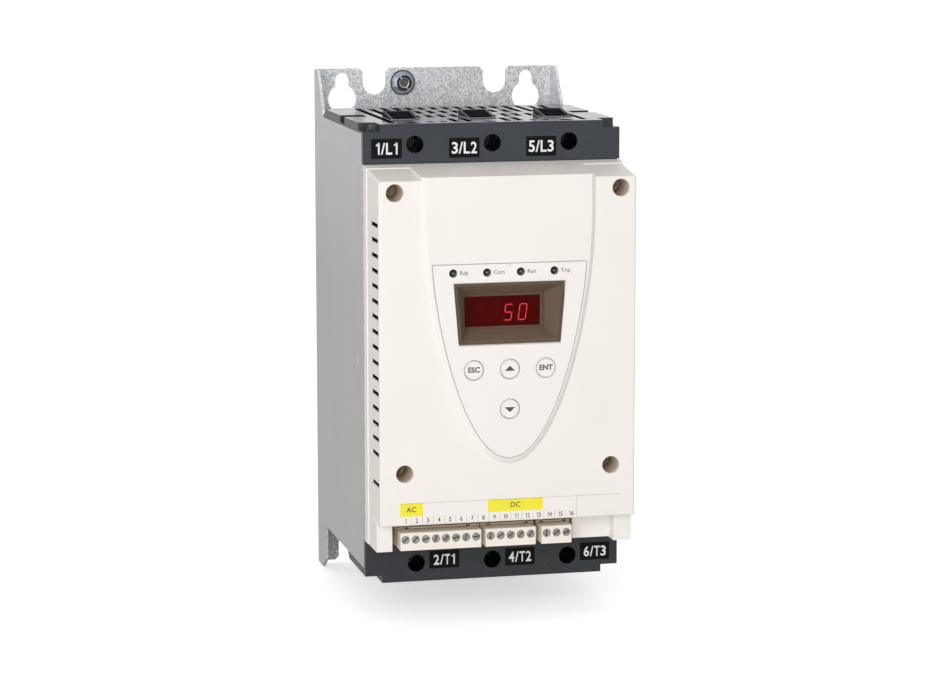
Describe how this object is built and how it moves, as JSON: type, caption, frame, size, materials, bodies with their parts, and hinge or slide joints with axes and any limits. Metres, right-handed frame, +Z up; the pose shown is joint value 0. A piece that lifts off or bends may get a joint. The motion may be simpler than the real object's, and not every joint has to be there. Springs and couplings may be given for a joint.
{
  "type": "soft starter",
  "caption": "Three-phase motor soft starter: sheet-metal chassis with mounting ears, grilled power terminal blocks, pale cover with keypad, display and pull-off control terminals.",
  "frame": {"origin": "centre of the rear plate's back face, on the wall", "axes": "+X to the right seen from the front, +Y into the wall, +Z up"},
  "size_m": [0.13, 0.169, 0.265],
  "materials": {
    "zinc": "galvanised sheet, fine spangle",
    "steel": "zinc-plated steel",
    "aluminium": "plain extrusion",
    "copper": null,
    "slate_plastic": "slate black, glass-filled polyamide",
    "dark_plastic": "black moulding",
    "pale_plastic": "fine matt warm white",
    "keypad_film": "satin keypad film",
    "terminal_plastic": "cream moulding",
    "board": "green circuit board",
    "relay_case": "blue relay case",
    "display_red": "dark red display face",
    "smoked_window": "smoked clear plastic",
    "lamp": "dark lens, unlit"
  },
  "bodies": {
    "housing": {"bottom_terminal_block": "slate_plastic", "bypass_relay_1": "relay_case", "bypass_relay_2": "relay_case", "bypass_relay_3": "relay_case", "chassis": "zinc", "control_board": "board", "cover_screw_1": "steel", "cover_screw_2": "steel", "cover_screw_3": "steel", "cover_screw_4": "steel", "current_transformer_1": "dark_plastic", "current_transformer_2": "dark_plastic", "display_module": "display_red", "display_window": "smoked_window", "earth_screw": "steel", "earth_washer": "steel", "front_cover": "pale_plastic", "heat_sink": "aluminium", "keypad_overlay": "keypad_film", "lamp_link": "lamp", "lamp_ready": "lamp", "lamp_run": "lamp", "lamp_trip": "lamp", "line_busbar_1": "copper", "line_busbar_2": "copper", "line_busbar_3": "copper", "line_clamp_1": "steel", "line_clamp_2": "steel", "line_clamp_3": "steel", "line_clamp_screw_1": "steel", "line_clamp_screw_2": "steel", "line_clamp_screw_3": "steel", "load_busbar_1": "copper", "load_busbar_2": "copper", "load_busbar_3": "copper", "load_clamp_1": "steel", "load_clamp_2": "steel", "load_clamp_3": "steel", "load_clamp_screw_1": "steel", "load_clamp_screw_2": "steel", "load_clamp_screw_3": "steel", "mounting_tray": "dark_plastic", "network_socket": "dark_plastic", "power_board": "board", "side_screw_left": "steel", "side_screw_right": "steel", "terminal_header_3": "terminal_plastic", "terminal_header_5": "terminal_plastic", "terminal_header_8": "terminal_plastic", "thyristor_module_1": "dark_plastic", "thyristor_module_2": "dark_plastic", "thyristor_module_3": "dark_plastic", "top_terminal_block": "slate_plastic"},
    "button_escape": {"button_escape": "keypad_film"},
    "button_up": {"button_up": "keypad_film"},
    "button_enter": {"button_enter": "keypad_film"},
    "button_down": {"button_down": "keypad_film"},
    "terminal_plug_8": {"terminal_plug_8": "terminal_plastic"},
    "terminal_plug_5": {"terminal_plug_5": "terminal_plastic"},
    "terminal_plug_3": {"terminal_plug_3": "terminal_plastic"}
  },
  "joints": [
    {"name": "button_escape_press", "type": "slide", "parent": "housing", "child": "button_escape", "axis": [0, 1, 0], "range_m": [0, 0.0006], "stiffness_N_per_m": 1500},
    {"name": "button_up_press", "type": "slide", "parent": "housing", "child": "button_up", "axis": [0, 1, 0], "range_m": [0, 0.0006], "stiffness_N_per_m": 1500},
    {"name": "button_enter_press", "type": "slide", "parent": "housing", "child": "button_enter", "axis": [0, 1, 0], "range_m": [0, 0.0006], "stiffness_N_per_m": 1500},
    {"name": "button_down_press", "type": "slide", "parent": "housing", "child": "button_down", "axis": [0, 1, 0], "range_m": [0, 0.0006], "stiffness_N_per_m": 1500},
    {"name": "terminal_plug_8_pull", "type": "slide", "parent": "housing", "child": "terminal_plug_8", "axis": [0, -1, 0], "range_m": [0, 0.012]},
    {"name": "terminal_plug_5_pull", "type": "slide", "parent": "housing", "child": "terminal_plug_5", "axis": [0, -1, 0], "range_m": [0, 0.012]},
    {"name": "terminal_plug_3_pull", "type": "slide", "parent": "housing", "child": "terminal_plug_3", "axis": [0, -1, 0], "range_m": [0, 0.012]}
  ]
}
